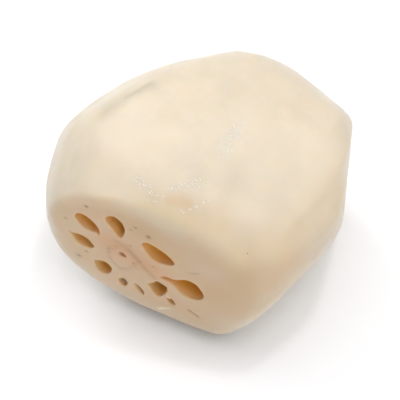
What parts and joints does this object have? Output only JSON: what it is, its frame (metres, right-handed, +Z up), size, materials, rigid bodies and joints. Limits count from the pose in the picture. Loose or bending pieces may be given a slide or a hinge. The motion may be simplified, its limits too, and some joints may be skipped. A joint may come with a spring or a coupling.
{
  "type": "lotus root segment",
  "caption": "Peeled segment of lotus root lying on its side, cut across at both ends, with a ring of air canals through its length.",
  "frame": {"origin": "under the middle of the segment's box, on the surface that it lies on", "axes": "+Y along the root from the clean near cut to the narrower far end, +Z up, +X to the right of someone facing the near cut"},
  "size_m": [0.0748, 0.0734, 0.0616],
  "materials": {
    "peeled_flesh": "raw peeled root flesh, moist and slightly translucent: ivory outside, pinkish tan on the cut ends, amber inside the canals"
  },
  "bodies": {
    "root": {"lotus_root_segment": "peeled_flesh"}
  },
  "joints": []
}
